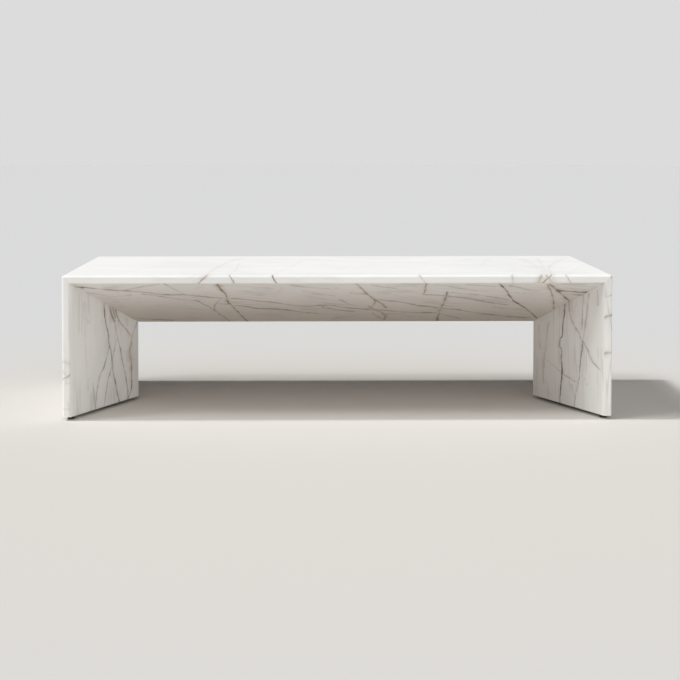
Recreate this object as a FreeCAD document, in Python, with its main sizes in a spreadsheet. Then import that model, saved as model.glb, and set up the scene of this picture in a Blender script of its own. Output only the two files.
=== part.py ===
import FreeCAD, Part
import math
import os
import Sketcher

# Outdoor coffee table in stone. A thin top slab turns down at a mitre into a leg slab at each end. Sloped
# panels under the top and inside the legs make each of the three arms a shallow V in section, thin at its
# front and rear edges and thick at a ridge in the middle. A welded aluminium frame with ribs fills the
# hollow. The table stands on four small levelling feet under the corners of the legs.
#
# Origin: the middle of the footprint, on the floor. +X along the length, +Y to the rear, +Z up.
# Across is measured along Y from the middle. Depth is measured inwards from an arm's outer face.

os.makedirs("parts", exist_ok=True)
document = FreeCAD.newDocument("CoffeeTable")
sheet = document.addObject("Spreadsheet::Sheet", "sizes")
sub_parts = []


class Size:
    """A length or a share, known both as a number and as a formula of the sheet's cells."""

    def __init__(self, formula, number):
        self.formula = formula
        self.number = number

    def __add__(self, other):
        other = as_size(other)
        return Size(f"({self.formula} + {other.formula})", self.number + other.number)

    def __sub__(self, other):
        other = as_size(other)
        return Size(f"({self.formula} - {other.formula})", self.number - other.number)

    def __mul__(self, other):
        other = as_size(other)
        return Size(f"({self.formula} * {other.formula})", self.number * other.number)

    def __truediv__(self, other):
        other = as_size(other)
        return Size(f"({self.formula} / {other.formula})", self.number / other.number)

    def __neg__(self):
        return self * -1


def as_size(value):
    if isinstance(value, Size):
        return value
    return Size(repr(value), value)


def square_root(value):
    return Size(f"sqrt({value.formula})", math.sqrt(value.number))


cell_count = 0


def size(alias, number):
    """Writes one driving dimension into the sheet, in millimetres."""
    global cell_count
    cell_count += 1
    cell = f"A{cell_count}"
    sheet.set(cell, str(number))
    sheet.setAlias(cell, alias)
    return Size(f"sizes.{alias}", number)


# The whole table.
table_length = size("table_length", 1524)
table_depth = size("table_depth", 700)
table_height = size("table_height", 403)

# The stone. The gap is the shadow line between the floor and the legs.
foot_gap = size("foot_gap", 10)
slab_thickness = size("slab_thickness", 22)
ridge_depth = size("ridge_depth", 170)
panel_thickness = size("panel_thickness", 20)
outer_round = size("outer_round", 6)
arris_round = size("arris_round", 1)
ridge_flat = size("ridge_flat", 3)

# The frame of rectangular tube, the ribs and the corner angles.
tube_width = size("tube_width", 80)
tube_height = size("tube_height", 40)
tube_wall = size("tube_wall", 3)
tube_round = size("tube_round", 5)
tube_bore_round = size("tube_bore_round", 2)
rib_thickness = size("rib_thickness", 8)
rib_tip_height = size("rib_tip_height", 14)
rib_ridge_cut = size("rib_ridge_cut", 12)
rib_hole_diameter = size("rib_hole_diameter", 44)
rib_hole_web = size("rib_hole_web", 12)
rib_end_setback = size("rib_end_setback", 200)
lower_rib_height = size("lower_rib_height", 95)
upper_rib_height = size("upper_rib_height", 195)
angle_leg = size("angle_leg", 40)
angle_thickness = size("angle_thickness", 5)
seat_clearance = size("seat_clearance", 0.3)

# The base plates, their plugs and screws.
plate_thickness = size("plate_thickness", 8)
plate_recess = size("plate_recess", 4)
weep_hole_diameter = size("weep_hole_diameter", 10)
weep_hole_spacing = size("weep_hole_spacing", 150)
weep_hole_depth = size("weep_hole_depth", 68)
plug_height = size("plug_height", 18)
screw_diameter = size("screw_diameter", 8)
screw_head_diameter = size("screw_head_diameter", 16)
screw_spacing = size("screw_spacing", 40)
screw_reach = size("screw_reach", 22)
screw_sink = size("screw_sink", 0.4)
screw_socket = size("screw_socket", 5)
screw_socket_depth = size("screw_socket_depth", 2.5)

# The levelling feet. The thread's clearance is between the plain cylinders that stand for the threads.
foot_side_setback = size("foot_side_setback", 18)
foot_front_setback = size("foot_front_setback", 35)
pad_diameter = size("pad_diameter", 20)
pad_height = size("pad_height", 6.5)
pad_rim_height = size("pad_rim_height", 5)
pad_edge_chamfer = size("pad_edge_chamfer", 1)
pad_hub_diameter = size("pad_hub_diameter", 15)
pad_floor = size("pad_floor", 1.5)
spigot_diameter = size("spigot_diameter", 6)
collar_width = size("collar_width", 13)
thread_diameter = size("thread_diameter", 8)
thread_clearance = size("thread_clearance", 0.08)
insert_diameter = size("insert_diameter", 12)
insert_length = size("insert_length", 30)
stem_end_gap = size("stem_end_gap", 2)

# How far a cutting shape runs past what it cuts.
overrun = size("overrun", 10)
document.recompute()

zero = Size("0", 0)
half_length = table_length / 2
half_depth = table_depth / 2
half_tube = tube_width / 2

# The slope of a panel, as the depth that it gains for each millimetre across, and its own length for each.
slope = (ridge_depth - slab_thickness) / half_depth
slant = square_root(slope * slope + 1)

# The hollow between slab and panels: a triangle, widest at the slab and closed at its own ridge.
hollow_depth = ridge_depth - slab_thickness - panel_thickness * slant
hollow_half = hollow_depth / slope

plate_bottom = foot_gap + plate_recess
plate_top = plate_bottom + plate_thickness
stone_height = table_height - foot_gap


class Arm:
    """One of the table's three arms: the plane of its cross-section, its place and the way it runs."""

    def __init__(self, name, plane, place, start, length, ends):
        self.name = name
        self.plane = plane
        self.place = place
        self.start = start
        self.length = length
        self.ends = ends


def top_place(across, depth):
    return across, table_height - depth


def left_place(across, depth):
    return depth - half_length, across


def right_place(across, depth):
    return half_length - depth, across


def left_corner(inwards, down):
    """A place beside the left top corner, seen from the front."""
    return inwards - half_length, table_height - down


def right_corner(inwards, down):
    return half_length - inwards, table_height - down


top_arm = Arm("top", "YZ_Plane", top_place, None, table_length, (left_corner, right_corner))
left_arm = Arm("left", "XY_Plane", left_place, foot_gap, stone_height, (left_corner,))
right_arm = Arm("right", "XY_Plane", right_place, foot_gap, stone_height, (right_corner,))
leg_arms = (left_arm, right_arm)


# Helpers for bodies, sketches and features.

def new_body(label):
    body = document.addObject("PartDesign::Body", label)
    body.Label = label
    sub_parts.append(body)
    return body


def new_sketch(body, name, plane, polygons=(), circles=(), offset=None):
    """A fully constrained sketch of closed polygons and circles, whose every place is bound to the sheet."""
    sketch = body.newObject("Sketcher::SketchObject", f"{body.Name}_{name}")
    for feature in body.Origin.OriginFeatures:
        if feature.Role == plane:
            sketch.AttachmentSupport = [(feature, "")]
    sketch.MapMode = "FlatFace"
    if offset is not None:
        sketch.setExpression("AttachmentOffset.Base.z", offset.formula)
    for corners in polygons:
        first = sketch.GeometryCount
        last = first + len(corners) - 1
        for index, corner in enumerate(corners):
            following = corners[(index + 1) % len(corners)]
            line = Part.LineSegment(sketch_point(corner), sketch_point(following))
            sketch.addGeometry(line, False)
        for line_index in range(first, last + 1):
            next_index = first if line_index == last else line_index + 1
            sketch.addConstraint(Sketcher.Constraint("Coincident", line_index, 2, next_index, 1))
        for index, corner in enumerate(corners):
            place_point(sketch, first + index, 1, corner)
    for centre, diameter in circles:
        circle = Part.Circle(sketch_point(centre), FreeCAD.Vector(0, 0, 1), diameter.number / 2)
        index = sketch.addGeometry(circle, False)
        place_point(sketch, index, 3, centre)
        constraint = sketch.addConstraint(Sketcher.Constraint("Diameter", index, diameter.number))
        sketch.setExpression(f"Constraints[{constraint}]", diameter.formula)
    document.recompute()
    return sketch


def sketch_point(place):
    return FreeCAD.Vector(place[0].number, place[1].number, 0)


def place_point(sketch, geometry, point, place):
    """Binds one point of a sketch to its two distances from the origin."""
    for direction, distance in zip(("DistanceX", "DistanceY"), place):
        constraint = Sketcher.Constraint(direction, -1, 1, geometry, point, distance.number)
        index = sketch.addConstraint(constraint)
        sketch.setExpression(f"Constraints[{index}]", distance.formula)


def pad(body, name, sketch, length, both_ways=False, reversed_way=False):
    feature = body.newObject("PartDesign::Pad", f"{body.Name}_{name}")
    feature.Profile = sketch
    feature.SideType = "Symmetric" if both_ways else "One side"
    feature.Reversed = reversed_way
    feature.setExpression("Length", length.formula)
    document.recompute()
    return feature


def pocket(body, name, sketch, length, both_ways=False, reversed_way=False):
    before = body.Shape.Volume
    feature = body.newObject("PartDesign::Pocket", f"{body.Name}_{name}")
    feature.Profile = sketch
    feature.SideType = "Symmetric" if both_ways else "One side"
    feature.Reversed = reversed_way
    feature.setExpression("Length", length.formula)
    document.recompute()
    if feature.Shape.Volume >= before:
        raise RuntimeError(f"{feature.Name} cuts nothing")
    return feature


def edge_names(feature, wanted):
    """The names of the feature's edges for which wanted(edge) is true."""
    return [f"Edge{number}" for number, edge in enumerate(feature.Shape.Edges, 1) if wanted(edge)]


def dress(kind, body, name, base, edges, property_name, amount):
    """Adds a fillet or a chamfer to the named edges of the base feature."""
    feature = body.newObject(f"PartDesign::{kind}", f"{body.Name}_{name}")
    feature.Base = (base, edges)
    feature.setExpression(property_name, amount.formula)
    document.recompute()
    return feature


def fillet(body, name, base, edges, radius):
    return dress("Fillet", body, name, base, edges, "Radius", radius)


def chamfer(body, name, base, edges, amount):
    return dress("Chamfer", body, name, base, edges, "Size", amount)


def same(first, second):
    return math.isclose(first, second, rel_tol=1e-6)


def flat_at(edge, axis, value):
    """True where the whole edge lies in the plane across the axis at the value."""
    low = getattr(edge.BoundBox, f"{axis}Min")
    high = getattr(edge.BoundBox, f"{axis}Max")
    return same(low, value) and same(high, value)


def rectangle(place, near, far, shallow, deep):
    """A rectangle in an arm's cross-section, from near to far across and from shallow to deep."""
    return [place(near, shallow), place(far, shallow), place(far, deep), place(near, deep)]


def run_along(body, arm, polygon):
    """Pads a cross-section along the whole arm."""
    sketch = new_sketch(body, "section", arm.plane, [polygon], offset=arm.start)
    return pad(body, "length", sketch, arm.length, both_ways=arm is top_arm)


def cut_mitres(body, arm, deepest):
    """Cuts the arm at 45 degrees where it meets its neighbour, down to the deepest point of the piece."""
    outside = -overrun
    inside = deepest + overrun
    waste = []
    for corner in arm.ends:
        beyond = corner(outside, inside) if arm is top_arm else corner(inside, outside)
        waste.append([corner(outside, outside), corner(inside, inside), beyond])
    sketch = new_sketch(body, "mitre_waste", "XZ_Plane", waste)
    return pocket(body, "mitre", sketch, table_depth + overrun * 2, both_ways=True)


# The feet screw into threaded inserts in blind holes, each half in a leg slab and half in a panel.

front_and_rear = (("front", -1), ("rear", 1))


def foot_place(arm, side):
    return arm.place((half_depth - foot_front_setback) * side, foot_side_setback)


def cut_insert_holes(body, arm, sides):
    hole_diameter = insert_diameter + seat_clearance * 2
    circles = [(foot_place(arm, side), hole_diameter) for side in sides]
    sketch = new_sketch(body, "insert_holes", arm.plane, circles=circles, offset=foot_gap)
    pocket(body, "insert_hole_depth", sketch, insert_length + seat_clearance, reversed_way=True)


# The slabs: the top and the two outer faces of the legs. Their outer edges are rounded, their inner edges
# just eased, and the rounding runs on round the mitres.

def make_slab(label, arm, outer_edge, inner_edge):
    body = new_body(label)
    section = rectangle(arm.place, -half_depth, half_depth, zero, slab_thickness)
    blank = run_along(body, arm, section)
    rounded = fillet(body, "outer_round", blank, edge_names(blank, outer_edge), outer_round)
    fillet(body, "arris", rounded, edge_names(rounded, inner_edge), arris_round)
    cut_mitres(body, arm, slab_thickness)
    if arm is not top_arm:
        cut_insert_holes(body, arm, (-1, 1))


def at_front_or_rear(edge):
    return flat_at(edge, "Y", -half_depth.number) or flat_at(edge, "Y", half_depth.number)


def at_either_end(edge):
    return flat_at(edge, "X", -half_length.number) or flat_at(edge, "X", half_length.number)


def at_top(edge):
    return flat_at(edge, "Z", table_height.number)


def at_leg_bottom(edge):
    return flat_at(edge, "Z", foot_gap.number)


def top_outer_edge(edge):
    return at_top(edge) or (at_front_or_rear(edge) and at_either_end(edge))


def top_inner_edge(edge):
    return flat_at(edge, "Z", (table_height - slab_thickness).number)


def leg_outer_edge(edge):
    upright = at_front_or_rear(edge) and at_either_end(edge)
    upper = at_top(edge) and (at_front_or_rear(edge) or at_either_end(edge))
    return upright or upper


def leg_inner_edge(edge):
    inner_face = half_length.number - slab_thickness.number
    inner = flat_at(edge, "X", -inner_face) or flat_at(edge, "X", inner_face)
    return at_leg_bottom(edge) or (inner and at_front_or_rear(edge))


make_slab("top_slab", top_arm, top_outer_edge, top_inner_edge)
for arm in leg_arms:
    make_slab(f"{arm.name}_leg_slab", arm, leg_outer_edge, leg_inner_edge)


# The sloped panels. Each starts where the slab's eased edge ends and runs to the ridge, where the front and
# rear panels meet on the middle plane under a narrow flat. Their inner faces bound the hollow.

def panel_section(place, side):
    ridge_half = ridge_flat / 2
    edge_start = half_depth - arris_round
    points = [
        (edge_start, slab_thickness),
        (edge_start, slab_thickness + arris_round * slope),
        (ridge_half, ridge_depth - ridge_half * slope),
        (zero, ridge_depth - ridge_half * slope),
        (zero, slab_thickness + hollow_depth),
        (hollow_half, slab_thickness),
    ]
    return [place(across * side, depth) for across, depth in points]


def sloped_bottom_edge(edge):
    """The lower edge of a leg panel's outer, sloped face: the longest one at the leg's bottom."""
    return at_leg_bottom(edge) and same(edge.Length, sloped_edge_length)


def make_panel(label, arm, side):
    body = new_body(label)
    padded = run_along(body, arm, panel_section(arm.place, side))
    if arm is not top_arm:
        fillet(body, "arris", padded, edge_names(padded, sloped_bottom_edge), arris_round)
    cut_mitres(body, arm, ridge_depth)
    if arm is not top_arm:
        cut_insert_holes(body, arm, (side,))


sloped_edge_length = ((half_depth - arris_round - ridge_flat / 2) * slant).number
for side_name, side in front_and_rear:
    make_panel(f"{side_name}_under_panel", top_arm, side)
    for arm in leg_arms:
        make_panel(f"{arm.name}_leg_{side_name}_panel", arm, side)


# The frame: one size of rectangular tube, laid flat against the slabs and mitred where spine and posts meet.

def tube_section(place):
    outer = rectangle(place, -half_tube, half_tube, slab_thickness, slab_thickness + tube_height)
    bore_half = half_tube - tube_wall
    bore_start = slab_thickness + tube_wall
    bore_end = slab_thickness + tube_height - tube_wall
    return [outer, rectangle(place, -bore_half, bore_half, bore_start, bore_end)]


def make_tube(label, arm, length, start):
    body = new_body(label)
    sketch = new_sketch(body, "section", arm.plane, tube_section(arm.place), offset=start)
    drawn = pad(body, "length", sketch, length, both_ways=arm is top_arm)

    def long_edge(edge, across):
        at_side = flat_at(edge, "Y", -across.number) or flat_at(edge, "Y", across.number)
        return at_side and same(edge.Length, length.number)

    outer_edges = edge_names(drawn, lambda edge: long_edge(edge, half_tube))
    rounded = fillet(body, "corners", drawn, outer_edges, tube_round)
    bore_edges = edge_names(rounded, lambda edge: long_edge(edge, half_tube - tube_wall))
    fillet(body, "bore_corners", rounded, bore_edges, tube_bore_round)
    cut_mitres(body, arm, slab_thickness + tube_height)


make_tube("frame_spine", top_arm, table_length - slab_thickness * 2, None)
post_length = table_height - slab_thickness - plate_top
for arm in leg_arms:
    make_tube(f"{arm.name}_frame_post", arm, post_length, plate_top)


# The ribs fill the hollow's section, with blunt tips, a notch for the tube and two holes to save weight. Each
# hole leaves the same web of metal at the slab and at the sloped side.

rib_tip_across = hollow_half - rib_tip_height / slope
rib_ridge_across = rib_ridge_cut / slope
rib_ridge_depth = slab_thickness + hollow_depth - rib_ridge_cut
rib_hole_inset = rib_hole_diameter / 2 + rib_hole_web
rib_hole_across = hollow_half - rib_hole_inset * (slant + 1) / slope


def rib_outline(place, notched):
    tip_depth = slab_thickness + rib_tip_height
    right_side = [
        (rib_tip_across, slab_thickness),
        (rib_tip_across, tip_depth),
        (rib_ridge_across, rib_ridge_depth),
    ]
    if notched:
        notch_half = half_tube + seat_clearance
        notch_depth = slab_thickness + tube_height + seat_clearance
        right_side = [(notch_half, notch_depth), (notch_half, slab_thickness)] + right_side
    left_side = [(-across, depth) for across, depth in reversed(right_side)]
    return [place(across, depth) for across, depth in right_side + left_side]


def make_rib(label, arm, position):
    body = new_body(label)
    hole_depth = slab_thickness + rib_hole_inset
    holes = [(arm.place(rib_hole_across * side, hole_depth), rib_hole_diameter) for side in (-1, 1)]
    sketch = new_sketch(body, "outline", arm.plane, [rib_outline(arm.place, True)], holes, position)
    pad(body, "plate", sketch, rib_thickness, both_ways=True)


top_rib_count = 5
rib_span = table_length - rib_end_setback * 2
for index in range(top_rib_count):
    share_along = index / (top_rib_count - 1)
    make_rib(f"top_rib_{index + 1}", top_arm, rib_span * share_along - rib_span / 2)
for arm in leg_arms:
    make_rib(f"{arm.name}_leg_lower_rib", arm, lower_rib_height)
    make_rib(f"{arm.name}_leg_upper_rib", arm, upper_rib_height)


# The corner angles lie in the mitred corners, in front of and behind the tube, and tie slab to slab.

angle_start = half_tube + seat_clearance
angle_end = hollow_half - (angle_thickness + rib_tip_height) / slope


def make_angle(label, corner, side):
    body = new_body(label)
    outer = slab_thickness
    inner = slab_thickness + angle_thickness
    tip = slab_thickness + angle_leg
    places = [(outer, outer), (tip, outer), (tip, inner), (inner, inner), (inner, tip), (outer, tip)]
    outline = [corner(inwards, down) for inwards, down in places]
    near_plane = angle_start if side < 0 else -angle_end
    sketch = new_sketch(body, "outline", "XZ_Plane", [outline], offset=near_plane)
    pad(body, "length", sketch, angle_end - angle_start)


for side_name, side in front_and_rear:
    make_angle(f"left_{side_name}_corner_angle", left_corner, side)
    make_angle(f"right_{side_name}_corner_angle", right_corner, side)


# The base plates close the legs a little above the stone's lower edge. Their holes take the countersunk
# screws into the posts and let rain water out.

post_middle = slab_thickness + tube_height / 2


def screw_places(arm):
    return [arm.place(screw_spacing / 2 * side, post_middle) for side in (-1, 1)]


def make_base_plate(arm):
    body = new_body(f"{arm.name}_base_plate")
    screw_hole = screw_diameter + seat_clearance * 2
    weep_depth = slab_thickness + weep_hole_depth
    weep_places = [arm.place(weep_hole_spacing / 2 * side, weep_depth) for side in (-1, 1)]
    holes = [(place, screw_hole) for place in screw_places(arm)]
    holes += [(place, weep_hole_diameter) for place in weep_places]
    outline = rib_outline(arm.place, False)
    sketch = new_sketch(body, "outline", arm.plane, [outline], holes, plate_bottom)
    plate = pad(body, "plate", sketch, plate_thickness)

    def screw_hole_edge(edge):
        round_edge = same(edge.Length, math.pi * screw_hole.number)
        return round_edge and flat_at(edge, "Z", plate_bottom.number)

    countersink = (screw_head_diameter - screw_diameter) / 2 + seat_clearance
    chamfer(body, "countersinks", plate, edge_names(plate, screw_hole_edge), countersink)


def make_plug(arm):
    body = new_body(f"{arm.name}_post_plug")
    half_width = half_tube - tube_wall - seat_clearance
    start = slab_thickness + tube_wall + seat_clearance
    end = slab_thickness + tube_height - tube_wall - seat_clearance
    outline = rectangle(arm.place, -half_width, half_width, start, end)
    holes = [(place, screw_diameter + thread_clearance * 2) for place in screw_places(arm)]
    sketch = new_sketch(body, "outline", arm.plane, [outline], holes, plate_top)
    block = pad(body, "block", sketch, plug_height)

    def upright(edge):
        at_side = flat_at(edge, "Y", -half_width.number) or flat_at(edge, "Y", half_width.number)
        return at_side and same(edge.Length, plug_height.number)

    fillet(body, "corners", block, edge_names(block, upright), tube_bore_round)


def hexagon(centre, across_flats):
    """The corners of a hexagon round a centre, in sketch places."""
    reach = across_flats / math.sqrt(3)
    corners = []
    for index in range(6):
        angle = math.tau * index / 6
        corners.append((centre[0] + reach * math.cos(angle), centre[1] + reach * math.sin(angle)))
    return corners


def make_screws(arm):
    """The two countersunk screws of one leg, as a group, with their heads sunk in the plate."""
    body = new_body(f"{arm.name}_base_plate_screws")
    body.AllowCompound = True
    head_bottom = plate_bottom + screw_sink
    shank_circles = [(place, screw_diameter) for place in screw_places(arm)]
    shanks = new_sketch(body, "shanks", arm.plane, circles=shank_circles, offset=head_bottom)
    pad(body, "shank_length", shanks, screw_reach)
    head_circles = [(place, screw_head_diameter) for place in screw_places(arm)]
    heads = new_sketch(body, "heads", arm.plane, circles=head_circles, offset=head_bottom)
    cones = pad(body, "head_cones", heads, (screw_head_diameter - screw_diameter) / 2)
    cones.TaperAngle = -45
    document.recompute()
    socket_outlines = [hexagon(place, screw_socket) for place in screw_places(arm)]
    sockets = new_sketch(body, "sockets", arm.plane, socket_outlines, offset=head_bottom)
    pocket(body, "socket_depth", sockets, screw_socket_depth, reversed_way=True)


for arm in leg_arms:
    make_base_plate(arm)
    make_plug(arm)
    make_screws(arm)


# The levelling feet. Each is modelled on its own axis and then placed. The stem screws into its insert in the
# stone, its hexagon collar takes a spanner, and its spigot turns in the foot pad. The feet are drawn screwed
# right in.

middle = (zero, zero)
insert_bore = thread_diameter + thread_clearance * 2
spigot_bore = spigot_diameter + thread_clearance * 2
collar_bottom = pad_height + seat_clearance
collar_top = foot_gap - seat_clearance
stem_top = foot_gap + insert_length - stem_end_gap


def put_at(body, place):
    body.setExpression("Placement.Base.x", place[0].formula)
    body.setExpression("Placement.Base.y", place[1].formula)


def make_foot_insert(label, place):
    body = new_body(label)
    circles = [(middle, insert_diameter), (middle, insert_bore)]
    sketch = new_sketch(body, "outline", "XY_Plane", circles=circles, offset=foot_gap)
    pad(body, "length", sketch, insert_length)
    put_at(body, place)


def make_foot_pad(label, place):
    body = new_body(label)
    radius = pad_diameter / 2
    profile = [
        (zero, zero),
        (radius - pad_edge_chamfer, zero),
        (radius, pad_edge_chamfer),
        (radius, pad_rim_height),
        (pad_hub_diameter / 2, pad_height),
        (spigot_bore / 2, pad_height),
        (spigot_bore / 2, pad_floor),
        (zero, pad_floor),
    ]
    sketch = new_sketch(body, "profile", "XZ_Plane", [profile])
    turned = body.newObject("PartDesign::Revolution", f"{label}_turned")
    turned.Profile = sketch
    turned.ReferenceAxis = (sketch, ["V_Axis"])
    turned.Angle = 360
    put_at(body, place)


def make_foot_stem(label, place):
    body = new_body(label)
    spigot_start = pad_floor + seat_clearance
    spigot_circle = (middle, spigot_diameter)
    spigot = new_sketch(body, "spigot", "XY_Plane", circles=[spigot_circle], offset=spigot_start)
    pad(body, "spigot_length", spigot, collar_bottom - spigot_start)
    collar_outline = hexagon(middle, collar_width)
    collar = new_sketch(body, "collar", "XY_Plane", [collar_outline], offset=collar_bottom)
    pad(body, "collar_height", collar, collar_top - collar_bottom)
    thread_circle = (middle, thread_diameter)
    thread = new_sketch(body, "thread", "XY_Plane", circles=[thread_circle], offset=collar_top)
    rod = pad(body, "thread_length", thread, stem_top - collar_top)
    tip = edge_names(rod, lambda edge: flat_at(edge, "Z", stem_top.number))
    chamfer(body, "tip", rod, tip, pad_edge_chamfer)
    put_at(body, place)


for arm in leg_arms:
    for side_name, side in front_and_rear:
        place = foot_place(arm, side)
        make_foot_insert(f"{arm.name}_{side_name}_foot_insert", place)
        make_foot_pad(f"{arm.name}_{side_name}_foot_pad", place)
        make_foot_stem(f"{arm.name}_{side_name}_foot_stem", place)


# The whole document is checked before anything is written.

document.recompute()
for item in document.Objects:
    if "Invalid" in item.State or "Error" in item.State:
        raise RuntimeError(f"{item.Name} is {item.State}")
for body in sub_parts:
    if body.Shape.isNull() or not body.Shape.isValid() or not body.Shape.Solids:
        raise RuntimeError(f"{body.Label} has no valid solid")
for body in sub_parts:
    body.Shape.exportStep(os.path.join("parts", f"{body.Label}.step"))
    box = body.Shape.BoundBox
    print(f"{body.Label}: {len(body.Shape.Solids)} solid, {body.Shape.Volume:.0f} mm3, "
          f"X {box.XMin:.1f} to {box.XMax:.1f}, Y {box.YMin:.1f} to {box.YMax:.1f}, "
          f"Z {box.ZMin:.1f} to {box.ZMax:.1f}")
print(f"{len(sub_parts)} sub-parts written")
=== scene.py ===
import math
import bmesh
import bpy
from mathutils import Euler, Matrix, Vector
from mathutils.geometry import intersect_line_plane


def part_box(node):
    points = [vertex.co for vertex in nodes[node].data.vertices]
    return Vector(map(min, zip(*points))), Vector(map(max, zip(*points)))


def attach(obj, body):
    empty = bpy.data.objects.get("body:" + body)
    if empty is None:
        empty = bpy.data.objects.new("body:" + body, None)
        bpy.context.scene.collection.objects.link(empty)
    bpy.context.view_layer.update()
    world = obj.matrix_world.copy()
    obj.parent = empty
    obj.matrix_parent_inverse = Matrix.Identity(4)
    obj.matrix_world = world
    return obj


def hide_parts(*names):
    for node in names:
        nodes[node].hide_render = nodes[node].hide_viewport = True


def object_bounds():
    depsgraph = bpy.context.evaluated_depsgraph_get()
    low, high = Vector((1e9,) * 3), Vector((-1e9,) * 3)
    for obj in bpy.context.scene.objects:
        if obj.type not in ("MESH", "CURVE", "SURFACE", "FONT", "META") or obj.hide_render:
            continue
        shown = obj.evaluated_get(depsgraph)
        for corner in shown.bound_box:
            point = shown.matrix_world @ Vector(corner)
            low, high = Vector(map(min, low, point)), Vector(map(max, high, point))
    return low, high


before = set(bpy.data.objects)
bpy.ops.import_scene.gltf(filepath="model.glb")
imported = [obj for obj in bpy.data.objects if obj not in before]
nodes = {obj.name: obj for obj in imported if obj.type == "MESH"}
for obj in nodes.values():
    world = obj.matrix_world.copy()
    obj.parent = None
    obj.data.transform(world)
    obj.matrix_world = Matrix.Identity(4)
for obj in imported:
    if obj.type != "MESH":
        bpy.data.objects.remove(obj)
cad_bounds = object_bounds()


# The camera looks at the table's front from a little left of its middle, with a long lens. The lens axis runs
# above the photograph's middle, so that upright edges stay nearly upright. Pixels are those of its 680 x 680
# frame.

picture_width = 680
focal_length_in_pixels = 1528.2
sensor_width_mm = 36
lens_shift = -0.2
tilt_down = 0.04278
turn_to_right = 0.01557
camera_place = Vector((-0.0597, -4.5606, 0.7808))
camera_turn = Euler((math.pi / 2 - tilt_down, 0, -turn_to_right))

lens = bpy.data.cameras.new("front_camera")
lens.sensor_width = sensor_width_mm
lens.lens = focal_length_in_pixels / picture_width * sensor_width_mm
lens.shift_y = lens_shift
camera = bpy.data.objects.new("front_camera", lens)
camera.location = camera_place
camera.rotation_euler = camera_turn
bpy.context.scene.collection.objects.link(camera)
bpy.context.scene.camera = camera


def seen_at(pixel, surface_point, surface_normal):
    """The place on a flat surface that the photograph shows at a pixel."""
    column, row = pixel
    axis_row = picture_width * (0.5 + lens.shift_y)
    ray = Vector((column - picture_width / 2, axis_row - row, -focal_length_in_pixels))
    ray.rotate(camera_turn)
    return intersect_line_plane(camera_place, camera_place + ray, surface_point, surface_normal)


# The stone is a warm white marble with grey-brown veins, honed to a soft sheen. Every slab and panel is sawn
# from a block, so its veins are sheets that run through it and come out on its edges. Each piece has its own
# material, in coordinates along its arm, across from its outer edge, and down into it.

mm = 0.001
half_length, half_depth, table_height = cad_bounds[1]

warm_white = (0.905, 0.888, 0.858, 1)
cool_white = (0.835, 0.825, 0.805, 1)
streak_grey = (0.58, 0.56, 0.54, 1)
hair_grey = (0.46, 0.42, 0.39, 1)
# The halo beige is the pale halo round the veins, and also the colour of the painted shade towards the
# ridges.
halo_and_shade_beige = (0.66, 0.58, 0.52, 1)
halo_ochre = (0.52, 0.40, 0.25, 1)
vein_brown = (0.16, 0.123, 0.103, 1)


class Tree:
    """Short ways to add nodes to a node tree. An input is a number, a colour or another node's output."""

    def __init__(self, tree):
        self.nodes = tree.nodes
        self.links = tree.links

    def feed(self, socket, value):
        if isinstance(value, bpy.types.NodeSocket):
            self.links.new(value, socket)
        else:
            socket.default_value = value

    def add(self, kind, inputs=None, **settings):
        node = self.nodes.new(kind)
        for name, value in settings.items():
            setattr(node, name, value)
        for name, value in (inputs or {}).items():
            self.feed(node.inputs[name], value)
        return node

    def math(self, operation, *values):
        node = self.add("ShaderNodeMath", operation=operation)
        for socket, value in zip(node.inputs, values):
            self.feed(socket, value)
        return node.outputs[0]

    def fade(self, value, start, end, low=0.0, high=1.0):
        """Goes smoothly from low, where the value is start, to high, where it is end."""
        inputs = {"Value": value, "From Min": start, "From Max": end, "To Min": low, "To Max": high}
        node = self.add("ShaderNodeMapRange", inputs, interpolation_type="SMOOTHSTEP")
        return node.outputs["Result"]

    def noise_node(self, vector, scale, detail, roughness=0.5, distortion=0.0):
        inputs = {"Vector": vector, "Scale": scale, "Detail": detail, "Roughness": roughness,
                  "Distortion": distortion}
        return self.add("ShaderNodeTexNoise", inputs)

    def noise(self, vector, **grain):
        return self.noise_node(vector, **grain).outputs["Fac"]

    def three_noises(self, vector, **grain):
        """Three unlike noises of one grain, by the names Red, Green and Blue."""
        colour = self.noise_node(vector, **grain).outputs["Color"]
        return self.add("ShaderNodeSeparateColor", {"Color": colour}).outputs

    def stretch(self, vector, scale=(1, 1, 1), turn=0.0, shift=(0, 0, 0)):
        inputs = {"Vector": vector, "Scale": scale, "Rotation": (0, 0, turn), "Location": shift}
        return self.add("ShaderNodeMapping", inputs).outputs["Vector"]

    def blend(self, share, first, second):
        node = self.add("ShaderNodeMix", data_type="RGBA")
        for index, value in ((0, share), (6, first), (7, second)):
            self.feed(node.inputs[index], value)
        return node.outputs[2]

    def bump(self, height, distance, strength, normal=None):
        inputs = {"Height": height, "Distance": distance, "Strength": strength}
        if normal:
            inputs["Normal"] = normal
        return self.add("ShaderNodeBump", inputs).outputs["Normal"]

    def vector_math(self, operation, inputs):
        return self.add("ShaderNodeVectorMath", inputs, operation=operation).outputs["Vector"]

    def turned_normal(self, direction, share):
        """The surface's normal, turned towards a direction by a share of its length."""
        flat = self.add("ShaderNodeNewGeometry").outputs["Normal"]
        turned = self.vector_math("SCALE", {0: direction, "Scale": share})
        return self.vector_math("NORMALIZE", {0: self.vector_math("ADD", {0: flat, 1: turned})})


class Vein:
    """One vein, by points that it passes through, its real width, how dark and how ochre it is, and its lean:
    how far it moves along for each step down into the stone."""

    def __init__(self, points, width, strength, ochre=0.0, lean=0.0):
        self.points = points
        self.width = width
        self.strength = strength
        self.ochre = ochre
        self.lean = lean


# A range says where a fade starts and ends, with the values there if they aren't 0 and 1. The core's rim and
# heart and the halo's rim are shares of the vein's width.

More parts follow.
